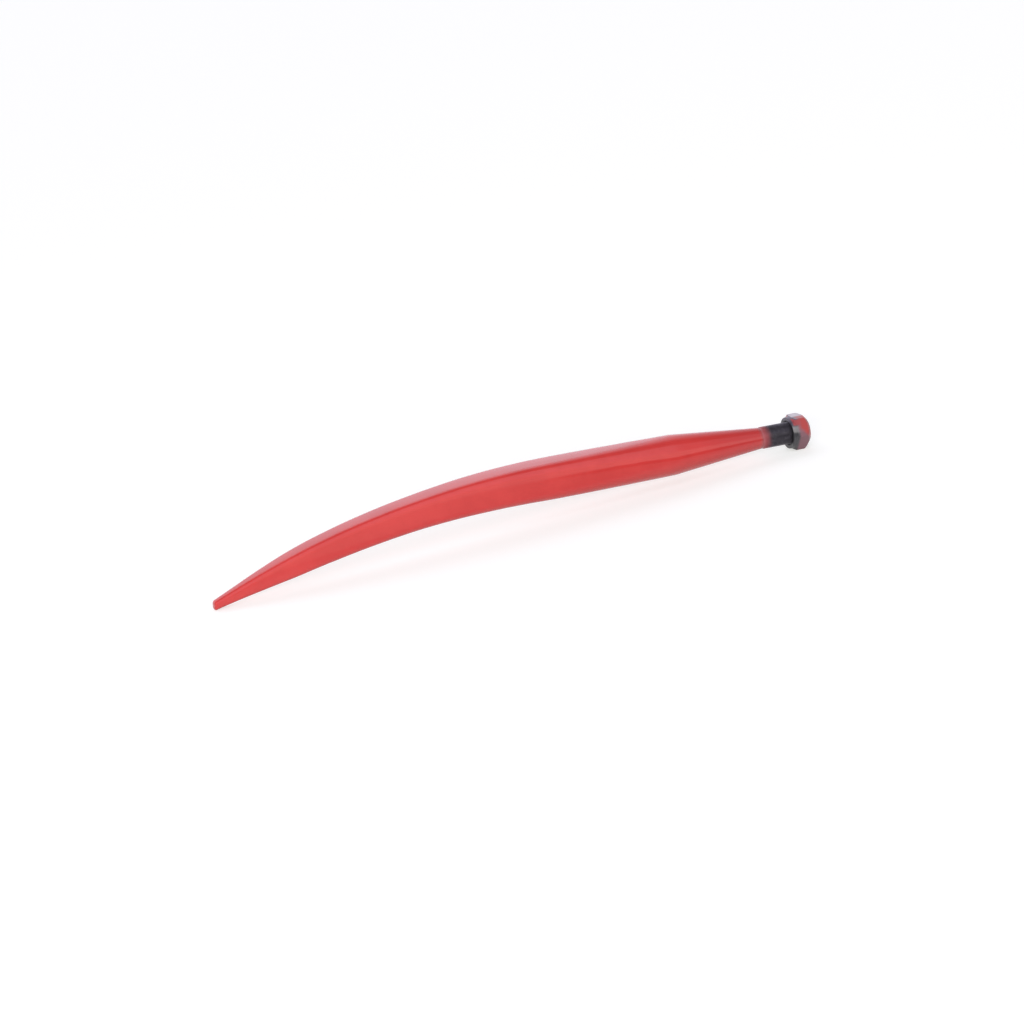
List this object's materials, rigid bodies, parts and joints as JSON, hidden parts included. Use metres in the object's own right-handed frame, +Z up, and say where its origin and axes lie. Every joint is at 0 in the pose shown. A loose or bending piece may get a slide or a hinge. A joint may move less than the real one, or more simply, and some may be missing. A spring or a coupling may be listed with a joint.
{
  "type": "loader tine",
  "caption": "Curved, tapered loader tine, square with soft corners at the body and round at the cone, with a threaded shank and a hexagon nut.",
  "frame": {"origin": "on the ground, under the middle of the part's length and width, as it rests on its tip and its nut with the outer side of the curve up", "axes": "+X along the length from the tip towards the nut, +Y across, +Z up"},
  "size_m": [0.8104, 0.0514, 0.0762],
  "materials": {
    "red_paint": "semi-gloss red paint over a forged surface; bare black thread behind the nut",
    "dark_steel": "dark steel with red overspray on the side away from the cone"
  },
  "bodies": {
    "root": {"tine": "red_paint", "nut": "dark_steel"}
  },
  "joints": []
}
